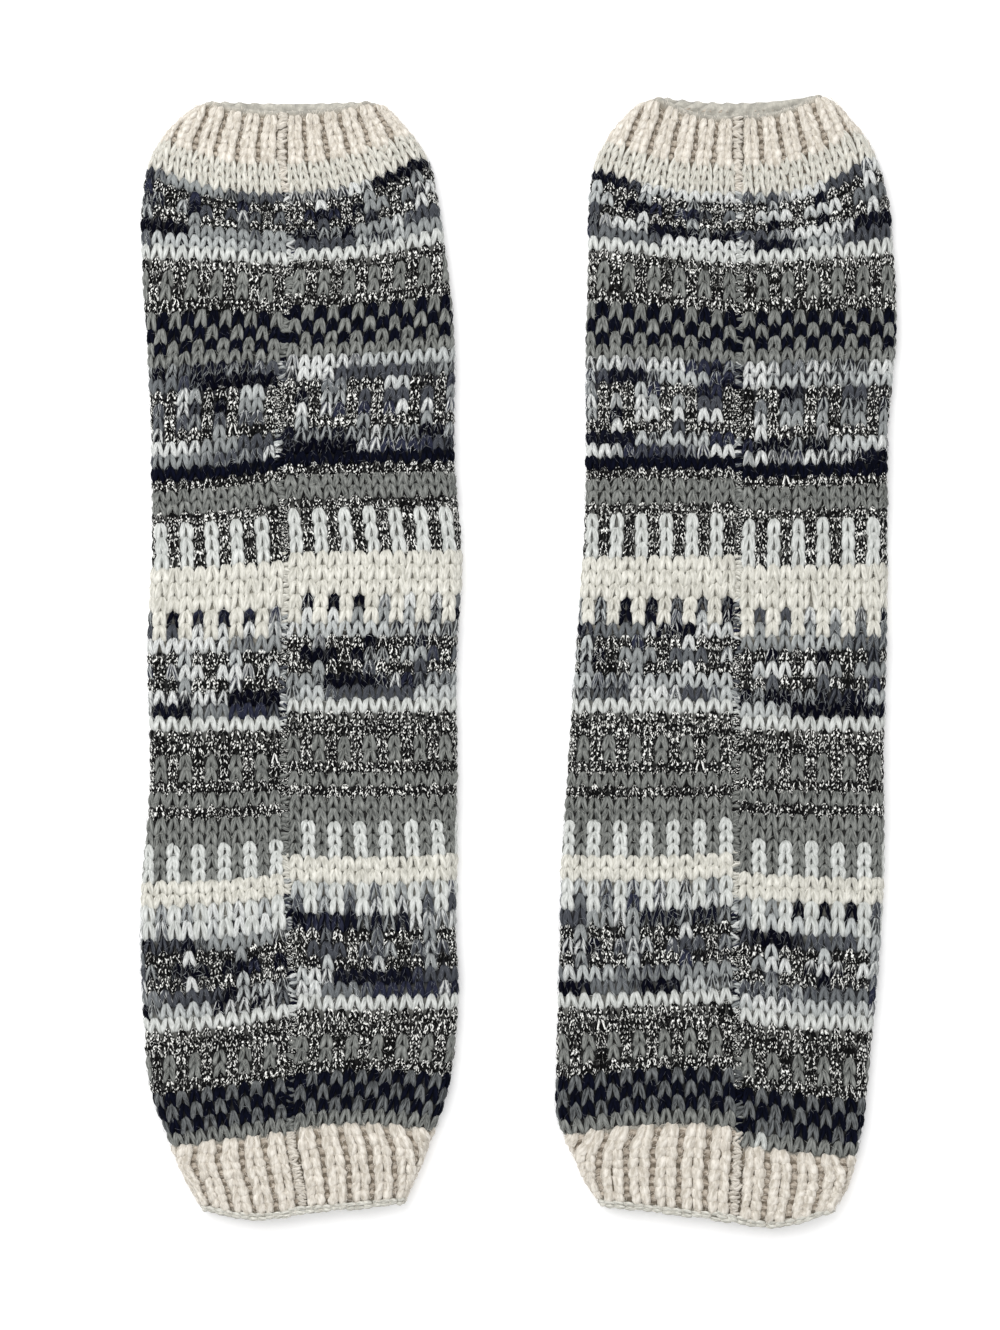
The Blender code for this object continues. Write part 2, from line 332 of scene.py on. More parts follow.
# The yarns
# Soft acrylic and wool in plain shades, a yarn dyed in long runs from navy to white, and a black
# yarn wound with broken silver foil. Each is two plies loosely laid together, with loose fibre on it.
CELLS = 16  # a strand takes one of 16 by 16 cells of the map
CELL_ROUND = 6.9  # mm that a cell's width stands for, round a strand
CELL_LONG = 6.1  # and its height, along one
MATT = {"Specular_IOR_Level": 0.06}  # wool scatters light and hardly mirrors it


class Signal:
    """A socket that takes part in plain arithmetic, each sign of which adds a Math node."""

    def __init__(self, finish, socket):
        self.finish = finish
        self.socket = socket

    def maths(self, operation, first, second=0.0):
        return self.finish.node("ShaderNodeMath", {"operation": operation}, {0: first, 1: second})

    def __add__(self, other):
        return self.maths("ADD", self, other)

    def __mul__(self, other):
        return self.maths("MULTIPLY", self, other)

    __radd__ = __add__
    __rmul__ = __mul__


class Finish:
    """A material in the making. node() adds a node and gives back one of its outputs."""

    def __init__(self, name, **fixed):
        self.material = bpy.data.materials.new(name)
        self.material.use_nodes = True
        self.tree = self.material.node_tree
        self.surface = self.tree.nodes["Principled BSDF"]
        for socket, value in fixed.items():
            self.surface.inputs[socket.replace("_", " ")].default_value = value

    def node(self, kind, settings=None, sockets=None, output=0):
        made = self.tree.nodes.new(kind)
        for name, value in (settings or {}).items():
            if name == "stops":
                ramp = made.color_ramp
                while len(ramp.elements) < len(value):
                    ramp.elements.new(1.0)
                for element, (place, colour) in zip(ramp.elements, value):
                    element.position = place
                    element.color = (*colour, 1.0)
            elif name == "ramp":
                made.color_ramp.interpolation = value
            else:
                setattr(made, name, value)
        for name, value in (sockets or {}).items():
            self.feed(made.inputs[name], value)
        return Signal(self, made.outputs[output])

    def feed(self, socket, value):
        if isinstance(value, Signal):
            self.tree.links.new(value.socket, socket)
        else:
            socket.default_value = value

    def clamped(self, value, steep, base):
        """value * steep + base, held between 0 and 1."""
        sockets = {0: value, 1: steep, 2: base}
        return self.node("ShaderNodeMath", {"operation": "MULTIPLY_ADD", "use_clamp": True}, sockets)

    def mix(self, share, first, second, blend="MIX"):
        return self.node(
            "ShaderNodeMix",
            {"data_type": "RGBA", "blend_type": blend},
            {"Factor": share, 6: first, 7: second},
            output=2,
        )

    def out(self, socket, value):
        self.feed(self.surface.inputs[socket], value)


def linear(red, green, blue):
    """A colour as the eye names it, from 0 to 255, for the shader."""
    scaled = [value / 255 for value in (red, green, blue)]
    return tuple(v / 12.92 if v <= 0.04045 else ((v + 0.055) / 1.055) ** 2.4 for v in scaled)


def strand_map(finish):
    """The map that runs round and along a strand: its two places from 0 to 1, and it in mm."""
    place = finish.node("ShaderNodeUVMap", {"uv_map": "OFBake"})
    apart = finish.node("ShaderNodeSeparateXYZ", None, {0: place})
    u = Signal(finish, apart.socket.node.outputs["X"])
    v = Signal(finish, apart.socket.node.outputs["Y"])
    size = (CELLS * CELL_ROUND, CELLS * CELL_LONG, 1.0)
    sized = finish.node("ShaderNodeVectorMath", {"operation": "MULTIPLY"}, {0: place, 1: size})
    return u, v, sized


def plies(finish, u, v, twist):
    """Waves from 0 to 1 over the two plies, which wind round the strand."""
    turns = (u * (2 * CELLS) + v * (twist * CELLS)) * (2 * pi)
    return finish.node("ShaderNodeMath", {"operation": "SINE"}, {0: turns}) * 0.5 + 0.5


def fibres(finish, sized, scale, stretch):
    """Streaks of fibre that lie along a strand, longer the smaller stretch is."""
    drawn = finish.node(
        "ShaderNodeVectorMath", {"operation": "MULTIPLY"}, {0: sized, 1: (1.0, stretch, 1.0)}
    )
    return finish.node(
        "ShaderNodeTexNoise",
        {"noise_dimensions": "2D"},
        {"Vector": drawn, "Scale": scale, "Detail": 3.0, "Roughness": 0.6},
    )


def relief(finish, height, depth):
    """Fine relief, as deep as depth in metres."""
    bump = finish.node("ShaderNodeBump", None, {"Height": height, "Distance": depth})
    finish.out("Normal", bump)


def wool(name, dark, light, sheen=0.12):
    """A plain yarn, mixed from its dark to its light colour by streaks of fibre and random patches,
    and painted darker in the plies' dips as painted shade.
    """
    finish = Finish(name, Roughness=0.95, Sheen_Weight=sheen, Sheen_Roughness=0.7, **MATT)
    u, v, sized = strand_map(finish)
    ply = plies(finish, u, v, 1.0)
    fibre = fibres(finish, sized, 1.5, 0.3)
    patch = fibres(finish, sized, 0.17, 1.0)
    # The ply waves add painted shade in the dips between the plies; the fibre streaks and patches are
    # the yarn's own uneven tone.
    shade = finish.clamped(ply * 0.3 + fibre * 2.6 + patch * 0.5, 1.0, -1.2)
    finish.out("Base Color", finish.mix(shade, (*dark, 1.0), (*light, 1.0)))
    relief(finish, ply * 0.7 + fibre * 0.9, 0.0004)
    return finish.material


DYES = [
    linear(5, 6, 21),
    linear(15, 17, 32),
    linear(48, 51, 70),
    linear(84, 87, 94),
    linear(124, 128, 131),
    linear(167, 171, 171),
    linear(208, 212, 211),
    linear(238, 240, 238),
]


def dyed_wool(name):
    """The run-dyed yarn: a cell's column picks one ply's shade and its row the other's."""
    finish = Finish(name, Roughness=0.95, **MATT)
    u, v, sized = strand_map(finish)
    ply = plies(finish, u, v, 0.5)
    fibre = fibres(finish, sized, 1.5, 0.22)
    stops = [(index / len(DYES), dye) for index, dye in enumerate(DYES)]
    steps = {"stops": stops, "ramp": "CONSTANT"}
    first = finish.node("ShaderNodeValToRGB", steps, {0: u})
    second = finish.node("ShaderNodeValToRGB", steps, {0: v})
    parted = finish.clamped(ply * 0.35 + fibre, 5.0, -3.3)
    both = finish.mix(parted, first, second)
    shade = finish.clamped(fibres(finish, sized, 3.1, 0.25), 2.6, -0.8)
    dim = finish.mix(0.55, both, (0.0, 0.0, 0.0, 1.0))
    finish.out("Base Color", finish.mix(shade, dim, both))
    relief(finish, ply * 0.7 + fibre * 0.9, 0.0004)
    return finish.material


def fluff(name, shade):
    """The loose fibres of a plain yarn, in the yarn's light colour, painted paler still on the darker
    yarns for the light that shines through them.
    """
    colour = (*shade, 1.0)
    finish = Finish(name, Base_Color=colour, Roughness=1.0, Sheen_Weight=0.3, **MATT)
    return finish.material


def dyed_fluff(name):
    """The loose fibres of the run-dyed yarn, painted paler than the strand they stand on for the
    light that shines through them.
    """
    finish = Finish(name, Roughness=1.0, **MATT)
    u, v, sized = strand_map(finish)
    stops = [(index / len(DYES), dye) for index, dye in enumerate(DYES)]
    ramp = finish.node("ShaderNodeValToRGB", {"stops": stops, "ramp": "CONSTANT"}, {0: v})
    finish.out("Base Color", finish.mix(0.25, ramp, (*linear(216, 220, 226), 1.0)))
    return finish.material


def foil_yarn(name):
    """A black yarn with broken silver foil, which shows as small flakes of uneven brightness."""
    finish = Finish(name, Roughness=0.6, Sheen_Weight=0.03, **MATT)
    u, v, sized = strand_map(finish)
    drawn_out = finish.node(
        "ShaderNodeVectorMath", {"operation": "MULTIPLY"}, {0: sized, 1: (1.0, 0.8, 1.0)}
    )
    flakes = finish.node(
        "ShaderNodeTexVoronoi",
        {"voronoi_dimensions": "2D"},
        {"Vector": drawn_out, "Scale": 2.95, "Randomness": 1.0},
        output="Color",
    )
    pick = finish.node("ShaderNodeSeparateXYZ", None, {0: flakes})
    silver = finish.clamped(pick, 6.0, -4.15)
    black = (*linear(5, 5, 6), 1.0)
    finish.out("Base Color", finish.mix(silver, black, (*linear(248, 248, 243), 1.0)))
    relief(finish, pick, 0.0002)
    return finish.material


YARNS = {
    "cream": wool("cream_wool", linear(176, 174, 164), linear(234, 232, 223)),
    "cuff": wool("warm_cream_wool", linear(182, 174, 161), linear(237, 231, 221)),
    # The purl bumps take a darker copy of the cuff yarn: painted shade for the shadow in the valleys
    # between the ribs.
    "purl": wool("warm_cream_wool_painted_shade_between_ribs", linear(146, 134, 120), linear(211, 201, 187), 0.05),
    "white": wool("white_wool", linear(168, 171, 167), linear(227, 229, 226)),
    "grey": wool("heather_grey_wool", linear(76, 78, 76), linear(151, 153, 149), 0.04),
    "slate": wool("slate_grey_wool", linear(44, 46, 48), linear(124, 127, 128), 0.02),
    "navy": wool("navy_wool", linear(2, 3, 9), linear(12, 15, 32), 0.0),
    "dyed": dyed_wool("run_dyed_wool"),
    "foil": foil_yarn("silver_foil_yarn"),
}

# Loose fibres in the yarns' light colours, painted paler on the dark yarns: painted light for the
# glow through thin fibres.
FLUFF = {
    "cream": fluff("cream_fluff", linear(233, 230, 220)),
    "cuff": fluff("warm_cream_fluff", linear(238, 230, 218)),
    "white": fluff("white_fluff", linear(232, 233, 230)),
    "grey": fluff("heather_grey_fluff", linear(168, 170, 163)),
    "slate": fluff("slate_grey_fluff", linear(128, 132, 136)),
    "navy": fluff("navy_fluff", linear(40, 44, 66)),
    "dyed": dyed_fluff("run_dyed_fluff"),
    "foil": fluff("foil_fluff", linear(120, 120, 118)),
}

# The stitches of the bodies
# Plain knitting in a chart of stripes and small repeats. Each stitch shows as two legs that lean
# together at the top, come out of the stitch above and sink behind the one below.
CHART_LETTERS = {
    "C": "cream", "W": "white", "P": "white", "G": "grey", "N": "navy", "D": "dyed", "L": "foil",
    "S": "slate",
}
CAPPED_POSTS = [(1, "LLDL"), (1, "LDDD"), (1, "LLDL")]
CHECKS = [(1, "NG"), (1, "GN"), (1, "NG")]
CHECKS_BELOW = [(1, "NS"), (1, "SN"), (1, "NS")]
MEANDER = [(1, "LLLDD"), (2, "LDLDD"), (1, "LDLLL")]
CHART = [
    (1, "D"), *CAPPED_POSTS, (2, "D"), (1, "W"), (1, "L"), (2, "GL"), (1, "L"), *CHECKS, (1, "G"),
    (2, "D"), *MEANDER, (2, "D"), (1, "N"), (1, "L"), (2, "G"), (1, "L"), (3, "PL"), (3, "C"),
    (2, "CD"), (1, "D"), *CAPPED_POSTS, (2, "D"), (1, "W"), (2, "L"), (2, "GL"), (1, "L"),
    (1, "G"), (1, "L"), (2, "G"), (3, "GP"), (2, "C"), (2, "DP"), (1, "D"), *CAPPED_POSTS,
    (2, "D"), (1, "W"), (2, "L"), (2, "GL"), (1, "L"), *CHECKS_BELOW, (1, "G"),
]
TURNED_ROWS = {8, 9, 11, 12, 13}  # the right warmer starts these one wale later
DARNED = {"left": [], "right": [(74, 1, "W"), (73, 2, "S"), (73, 1, "S")]}  # odd stitches

# The dyed yarn's shades from 0, navy, to 7, white, as often as each comes up
RUN_SHADES = [0, 0, 1, 2, 3, 3, 4, 5, 5, 6, 6, 7, 7]
RUN_LONG = (3, 8)  # stitches, from the first to below the second
SAME_SHADE = 0.4  # share of the runs whose two plies are alike
SUDDEN = 5  # a step in shade past which one ply lags behind
LEG_AROUND = 6  # sides of a leg on the face, and its lengths
LEG_ALONG = 5
UNDER_AROUND = 5
UNDER_ALONG = 4

# One leg from its top, where the two meet, to its foot: wales from the stitch's middle, courses
# down from its middle, mm out of the cloth and the radius in mm
LEG_ACROSS = [0.03, 0.11, 0.20, 0.29, 0.37, 0.42]
LEG_DOWN = [-0.74, -0.54, -0.20, 0.14, 0.46, 0.76]
LEG_LIFT = [-1.7, -0.50, -0.18, -0.26, -0.66, -1.7]
LEG_THICK = [0.0, 0.80, 0.98, 1.00, 0.86, 0.0]
FULL_ACROSS = [0.03, 0.13, 0.26, 0.33, 0.31, 0.22]  # where the loose wool stands in full loops
SOFT_ACROSS = [0.04, 0.15, 0.25, 0.32, 0.38, 0.40]  # and where it crowds its neighbours
WALE_WIDE = 4.6  # mm, which the radii are for
SIZES = {"C": 1.40, "P": 1.26, "W": 1.04, "G": 1.06, "N": 1.10, "D": 1.02, "L": 0.96, "S": 1.06}


class Strand:
    """A closed spindle of yarn with its corners named by the share of its length and the turn."""

    def __init__(self, around, along):
        ball = bmesh.new()
        bmesh.ops.create_uvsphere(ball, u_segments=around, v_segments=along, radius=1.0)
        ball.verts.index_update()
        self.stations = along + 1
        height = [acos(max(-1.0, min(1.0, vert.co.z))) / pi for vert in ball.verts]
        self.station = np.rint(np.array(height) * along).astype(int)
        self.turn = np.array([atan2(vert.co.y, vert.co.x) for vert in ball.verts])
        self.corners = []
        self.starts = []
        self.map = []
        for face in ball.faces:
            self.starts.append(len(self.corners))
            rounds = [(self.turn[v.index] / (2 * pi)) % 1.0 for v in face.verts]
            real = [r for r, v in zip(rounds, face.verts) if 0 < self.station[v.index] < along]
            late = max(real) - min(real) > 0.5
            real = [r + 1 if late and r < 0.5 else r for r in real]
            for spot, vert in zip(rounds, face.verts):
                if self.station[vert.index] in (0, along):
                    spot = sum(real) / len(real)
                elif late and spot < 0.5:
                    spot += 1
                self.corners.append(vert.index)
                self.map.append((spot, self.station[vert.index] / along))
        self.corners = np.array(self.corners)
        self.starts = np.array(self.starts)
        self.map = np.array(self.map)
        ball.free()


def drawn(strand, line):
    """A leg's line, read at the strand's stations."""
    return np.interp(np.linspace(0, 1, strand.stations), np.linspace(0, 1, len(line)), line)


FLATNESS = 0.8  # of a strand's height to its width, where its neighbours press on it
LUMPS = 0.09  # share by which a strand's radius wanders
TABLE_CLEAR = 0.02  # mm that the yarn stays above the table, which flattens it


def laid(strand, middle, outward, thick, rng):
    """Corners of many strands, each laid along one row of the arrays of middle points."""
    along = unit(np.gradient(middle, axis=1))
    side = unit(np.cross(along, outward))
    up = np.cross(side, along)
    lumps = rng.normal(1.0, LUMPS, (len(middle), len(strand.turn)))
    reach = (thick[:, strand.station] * lumps)[..., None]
    turn = strand.turn[None, :, None]
    spread = np.cos(turn) * side[:, strand.station]
    spread = spread + FLATNESS * np.sin(turn) * up[:, strand.station]
    return middle[:, strand.station] + reach * spread


CELL_EDGE = 0.04  # of a cell is left free on each side


def yarn_piece(name, strand, corners, cells, material):
    """One mesh of many strands, whose maps lie in their cells."""
    corners = np.maximum(corners, [-np.inf, -np.inf, TABLE_CLEAR])
    count = len(corners)
    mesh = bpy.data.meshes.new(name)
    mesh.vertices.add(count * len(strand.turn))
    mesh.vertices.foreach_set("co", (corners * MM).astype(np.float32).ravel())
    repeat = np.arange(count)[:, None]
    mesh.loops.add(count * len(strand.corners))
    mesh.loops.foreach_set(
        "vertex_index", (strand.corners[None] + repeat * len(strand.turn)).ravel()
    )
    mesh.polygons.add(count * len(strand.starts))
    mesh.polygons.foreach_set(
        "loop_start", (strand.starts[None] + repeat * len(strand.corners)).ravel()
    )
    mesh.update(calc_edges=True)
    mesh.polygons.foreach_set("use_smooth", np.ones(len(mesh.polygons), bool))
    layer = mesh.uv_layers.new(name="OFBake")
    inside = CELL_EDGE + strand.map / [1.0 + 1.0 / 6.0, 1.0] * (1 - 2 * CELL_EDGE)
    spread = (cells[:, None, :] + inside[None]) / CELLS
    layer.data.foreach_set("uv", spread.astype(np.float32).ravel())
    mesh.validate()
    mesh.materials.append(material)
    piece = bpy.data.objects.new(name, mesh)
    bpy.context.collection.objects.link(piece)
    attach(piece, "root")
    return piece


def charted(side):
    """The yarn of each stitch of a body, as letters in courses by wales."""
    rows = [repeat for count, repeat in CHART for _ in range(count)]
    letters = []
    for course, repeat in enumerate(rows):
        shift = 1 if side == "right" and course in TURNED_ROWS else 0
        letters.append([repeat[(wale + shift) % len(repeat)] for wale in range(WALES)])
    letters = np.array(letters)
    for course, wale, letter in DARNED[side]:
        letters[course, wale] = letter
    return letters


def dyed_plies(rng):
    """The shades of the dyed yarn's two plies at each stitch of a body."""
    shades = np.zeros((BODY_COURSES * WALES, 2), int)
    place = 0
    while place < len(shades):
        run = rng.integers(*RUN_LONG)
        pair = rng.choice(RUN_SHADES, 2)
        if rng.random() < SAME_SHADE:
            pair[1] = pair[0]
        shades[place : place + run] = pair
        shades[place + run - 1 : place + run, 1] = rng.choice(RUN_SHADES)
        place += run
    shades = shades.reshape(BODY_COURSES, WALES, 2)
    shades[1::2] = shades[1::2, ::-1]
    before = np.roll(shades, 1, axis=1)
    sudden = np.abs(shades.sum(axis=2) - before.sum(axis=2)) > SUDDEN
    shades[..., 1] = np.where(sudden, before[..., 0], shades[..., 1])
    return shades


SIZE_WANDERS = 0.08  # how unevenly the stitches are made: share of a leg's radius,
LEAN_WANDERS = 0.035  # wales,
STEP_WANDERS = 0.05  # courses
RISE_WANDERS = 0.10  # and mm


def legs(tube, strand, wale, course, across, down, lift, thick, rng, spread=1.0):
    """Both legs of many stitches, as lines that take the cloth's own unevenness."""
    count = len(wale)
    spread = np.broadcast_to(spread, count)[:, None]
    wide = tube.width_of_wale(wale, course) / WALE_WIDE
    sides = []
    for hand in (-1, 1):
        size = (wide * rng.normal(1.0, SIZE_WANDERS, count))[:, None]
        lean = rng.normal(0.0, LEAN_WANDERS, count)[:, None]
        step = rng.normal(0.0, STEP_WANDERS, count)[:, None]
        at_wale = wale[:, None] + hand * drawn(strand, across)[None] * spread + lean
        at_course = course[:, None] + drawn(strand, down)[None] + step
        rise = drawn(strand, lift)[None] + rng.normal(0.0, RISE_WANDERS, count)[:, None]
        radius = drawn(strand, thick)[None] * np.clip(size, 0.5, 1.1)
        middle = tube.at(at_wale, at_course, rise)
        sides.append(laid(strand, middle, tube.outward(at_wale, at_course), radius, rng))
    return np.concatenate(sides)


HAIR = Strand(3, 2)
HAIRS = {"cream": 5, "cuff": 8, "white": 6, "grey": 5, "slate": 4, "navy": 2, "dyed": 8, "foil": 2}
HAIR_LONG = (1.6, 4.2)  # mm
HAIR_THICK = (0.05, 0.10)  # mm from a hair's middle to its outside
HAIR_TURN = 0.7  # radians off the warmer's length
HAIR_BEND = 0.09  # share of its length that its middle lies to one side
HAIR_ROOT = 0.15  # mm out of the cloth's surface, at one end,
HAIR_MIDDLE = 0.62  # in the middle
HAIR_TIP = (0.35, 1.35)  # and at the other end


def loose_fibres(tube, wale, course, count, rng):
    """Fine bent fibres that stand off the stitches, count of them to each."""
    wale = np.repeat(wale, count)[:, None] + rng.uniform(-0.45, 0.45, (len(wale) * count, 1))
    course = np.repeat(course, count)[:, None] + rng.uniform(-0.5, 0.5, (len(wale), 1))
    turn = rng.normal(0.0, HAIR_TURN, wale.shape) + pi * rng.integers(0, 2, wale.shape)
    long = rng.uniform(*HAIR_LONG, wale.shape)
    along = np.array([-0.5, 0.0, 0.5])[None] * long
    bend = np.array([0.0, HAIR_BEND, 0.0])[None] * long * rng.normal(0.0, 1.0, wale.shape)
    at_wale = wale + (np.sin(turn) * along + np.cos(turn) * bend) / WALE_WIDE
    at_course = course + (np.cos(turn) * along - np.sin(turn) * bend) / WALE_WIDE
    tip = rng.uniform(*HAIR_TIP, len(wale))
    rise = np.stack([np.full(len(wale), HAIR_ROOT), HAIR_MIDDLE + 0 * tip, tip], axis=1)
    middle = tube.at(at_wale, at_course, rise)
    radius = np.array([0.0, 1.0, 0.0])[None] * rng.uniform(*HAIR_THICK, wale.shape)
    return laid(HAIR, middle, tube.outward(at_wale, at_course), radius, rng)


FACE_FROM = 2.0  # mm above the table, where the face and its folds start
body_yarns = {}
for tube in TUBES:
    rng = np.random.default_rng(len(tube.side) * 7)
    letters = charted(tube.side)
    plies_of = dyed_plies(rng)
    course, wale = np.meshgrid(np.arange(BODY_COURSES), np.arange(WALES), indexing="ij")
    under = tube.surface(wale + 0.5, course + 0.5)[..., 2] < FACE_FROM
    body_yarns[tube.side] = []
    for letter, yarn in CHART_LETTERS.items():
        for hidden in (False, True):
            chosen = (letters == letter) & (under == hidden)
            if not chosen.any():
                continue
            strand = Strand(UNDER_AROUND, UNDER_ALONG) if hidden else Strand(LEG_AROUND, LEG_ALONG)
            thick = np.array(LEG_THICK) * SIZES[letter]
            line = {"P": FULL_ACROSS, "C": SOFT_ACROSS}.get(letter, LEG_ACROSS)
            corners = legs(
                tube, strand, wale[chosen] + 0.5, course[chosen] + 0.5,
                line, LEG_DOWN, LEG_LIFT, thick, rng,
            )
            cells = rng.integers(0, CELLS, (chosen.sum(), 2))
            if yarn == "dyed":
                cells = 2 * plies_of[chosen] + rng.integers(0, 2, (chosen.sum(), 2))
            place = "under" if hidden else "face"
            kind = "full_white" if letter == "P" else yarn
            name = f"{tube.side}_{place}_{kind}_stitches"
            piece = yarn_piece(name, strand, corners, np.tile(cells, (2, 1)), YARNS[yarn])
            body_yarns[tube.side].append(piece)
            if hidden:
                continue
            fibres_off = loose_fibres(
                tube, wale[chosen] + 0.5, course[chosen] + 0.5, HAIRS[yarn], rng
            )
            fuzz = yarn_piece(
                f"{tube.side}_{kind}_loose_fibres", HAIR, fibres_off,
                np.repeat(cells, HAIRS[yarn], axis=0), FLUFF[yarn],
            )
            body_yarns[tube.side].append(fuzz)

# The cloth of the bodies
# Behind the stitches' legs lie the rest of their loops and the floats of the yarns that rest on a
# course. They make a soft layer a little over 1 mm thick that wraps round from seam to seam.
# Its colours are painted shade: mostly darker copies of the yarns, for the shadow in the gaps between
# the legs.
CLOTH_UNDER = 1.0  # mm from the cloth's surface down to this layer
CLOTH_THICK = 1.1
PAINTED_SHADE_BEHIND = {  # painted shade behind stitches and ribs (R); own pale colour at cuff edges (E)
    "C": linear(204, 199, 185), "W": linear(150, 150, 144), "P": linear(150, 150, 144),
    "G": linear(40, 40, 38), "S": linear(22, 23, 26),
    "N": linear(8, 9, 16), "D": linear(40, 41, 48), "L": linear(5, 5, 5),
    "R": linear(164, 151, 132), "E": linear(226, 222, 210),
}


def backing_cloth():
    """The layer behind the stitches, in the painted shade of its colour attribute, darkened further
    in a pattern of loops and loose fibre.
    """
    finish = Finish("looped_backing_in_painted_shade", Roughness=0.95, Sheen_Weight=0.2, Sheen_Roughness=0.6)
    place = finish.node("ShaderNodeTexCoord", output="Object")
    shade = finish.node("ShaderNodeAttribute", {"attribute_name": "behind"}, output="Color")
    loops = finish.node(
        "ShaderNodeTexVoronoi", {"feature": "SMOOTH_F1"}, {"Vector": place, "Scale": 480.0}
    )
    loose = finish.node(
        "ShaderNodeTexNoise", None, {"Vector": place, "Scale": 1900.0, "Detail": 3.0}
    )
    # More painted shade: darker in a pattern of loops and loose fibre.
    dim = loops * 0.5 + loose * 0.4
    finish.out("Base Color", finish.mix(dim, shade, (0.0, 0.0, 0.0, 1.0)))
    relief(finish, loops * -1.0 + loose * 0.4, 0.0006)
    return finish.material


backing = backing_cloth()


def cloth_piece(name, steps, place, letters, node):
    """A grid laid at place(across, down), given its thickness inward, for the node's solid."""
    grid = bmesh.new()
    bmesh.ops.create_grid(grid, x_segments=steps[0], y_segments=steps[1], size=1.0)
    flat = np.array([vert.co[:2] for vert in grid.verts])
    across = (flat[:, 0] + 1) / 2
    down = (1 - flat[:, 1]) / 2
    for vert, point in zip(grid.verts, place(across, down) * MM):
        vert.co = point
    for face in grid.faces:
        face.smooth = True
    mesh = bpy.data.meshes.new(name)
    grid.to_mesh(mesh)
    grid.free()
    # The corners take the painted shade behind their yarns.
    shade = mesh.color_attributes.new("behind", "FLOAT_COLOR", "POINT")
    tints = [(*PAINTED_SHADE_BEHIND[letter], 1.0) for letter in letters(across, down)]
    shade.data.foreach_set("color", np.array(tints, np.float32).ravel())
    mesh.materials.append(backing)
    piece = bpy.data.objects.new(name, mesh)
    bpy.context.collection.objects.link(piece)
    wall = piece.modifiers.new("thickness", "SOLIDIFY")
    wall.thickness = CLOTH_THICK * MM
    wall.offset = -1.0
    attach(piece, "root")
    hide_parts(node)
    return piece


for tube in TUBES:
    chart = charted(tube.side)

    def place(across, down):
        return tube.at(across * WALES, down * BODY_COURSES, np.full(down.shape, -CLOTH_UNDER))

    def letters(across, down):
        rows = np.clip(down * BODY_COURSES, 0, BODY_COURSES - 1).astype(int)
        return chart[rows, np.clip(across * WALES, 0, WALES - 1).astype(int)]

    cloth = cloth_piece(
        f"{tube.side}_body_cloth", (WALES * 2, BODY_COURSES), place, letters, f"{tube.side}_body"
    )

# The ribbed cuffs
# Soft cream ribbing, one knit wale and one purl wale in turn, knitted on with the bodies. Three
# plain courses join the arm cuff to its body, and the hand cuff ends in a cast-off chain.
PLAIN_COURSES = 3
PLAIN_DOWN = [-1.0, -0.68, -0.26, 0.20, 0.62, 1.0]
RIBS = WALES // 2
DRAWN_ROWS = 3.0  # the ribs draw together over so many rows, away from the body
RIB_ACROSS = [0.14, 0.25, 0.32, 0.37, 0.39, 0.38]
RIB_DOWN = [-0.98, -0.66, -0.24, 0.22, 0.64, 1.0]
RIB_LIFT = [-1.7, -0.80, -0.48, -0.52, -0.95, -1.8]
RIB_THICK = [0.0, 1.40, 1.90, 1.95, 1.60, 0.0]
PURL_ACROSS = [-0.56, -0.34, -0.12, 0.12, 0.34, 0.56]
PURL_DOWN = [0.16, 0.0, -0.08, -0.08, 0.0, 0.16]
PURL_LIFT = [-2.1, -1.55, -1.35, -1.35, -1.55, -2.1]
PURL_THICK = [0.0, 1.20, 1.45, 1.45, 1.20, 0.0]
PURL_SINKS = 0.3  # mm further where the ribs are drawn together
RIB_STRAND = Strand(LEG_AROUND, LEG_ALONG)
EDGE_STRAND = Strand(UNDER_AROUND, UNDER_ALONG)
CHAIN_LINKS = 60
CHAIN_PAST = 2  # links on each side that lie over the seam
CHAIN_ACROSS = [-0.46, -0.34, 0.0, 0.34, 0.46]
CHAIN_SPREAD = [0.0, 0.15, 0.19, 0.15, 0.0]
CHAIN_LIFT = [-0.6, -0.1, 0.1, -0.1, -0.6]
CHAIN_THICK = [0.0, 0.74, 0.82, 0.74, 0.0]
RIB_UNDER = 0.1  # mm further down than on the bodies lies the layer behind the ribs,
RIB_SWING = 0.35  # and it rises and sinks so many mm with them
INSIDE_BELOW = 2.5  # mm above the table: the lower layer shows its pale inside at the openings
EDGE_SHARE = 0.83  # and so do the ends of the layer, from here on


def bumps(tube, strand, wale, course, sunk, rng):
    """Purl bumps: one short level strand to each stitch, sunk this far between the ribs."""
    count = len(wale)
    wide = tube.width_of_wale(wale, course) / WALE_WIDE
    at_wale = wale[:, None] + drawn(strand, PURL_ACROSS)[None] + rng.normal(0, 0.04, (count, 1))
    at_course = course[:, None] + drawn(strand, PURL_DOWN)[None] + rng.normal(0, 0.05, (count, 1))
    rise = drawn(strand, PURL_LIFT)[None] + rng.normal(0.0, 0.08, (count, 1)) - sunk[:, None]
    radius = drawn(strand, PURL_THICK)[None] * np.clip(wide, 0.6, 1.1)[:, None]
    middle = tube.at(at_wale, at_course, rise)
    return laid(strand, middle, tube.outward(at_wale, at_course), radius, rng)


def ribbing(tube, first, last, rows, opening, rng):
    """The corners of the knit and purl stitches of ribbing, which draws in away from the body."""
    step = (last - first) / rows
    course, rib = np.meshgrid(np.arange(rows), np.arange(RIBS), indexing="ij")
    away = course if first > 0 else rows - 1 - course
    drawn_in = np.clip(away.ravel() / DRAWN_ROWS, 0, 1)
    opened = 1.0 + opening * drawn_in
    course = first + (course.ravel() + 0.5) * step
    ridge = rib.ravel() * 2.0 + 1.0
    knit = legs(
        tube, RIB_STRAND, ridge, course,
        RIB_ACROSS, np.array(RIB_DOWN) * step, RIB_LIFT, np.array(RIB_THICK) * (1 + opening * 0.5),
        rng, opened,
    )
    purl = bumps(tube, EDGE_STRAND, ridge + 1.0, course, drawn_in * PURL_SINKS, rng)
    return knit, purl


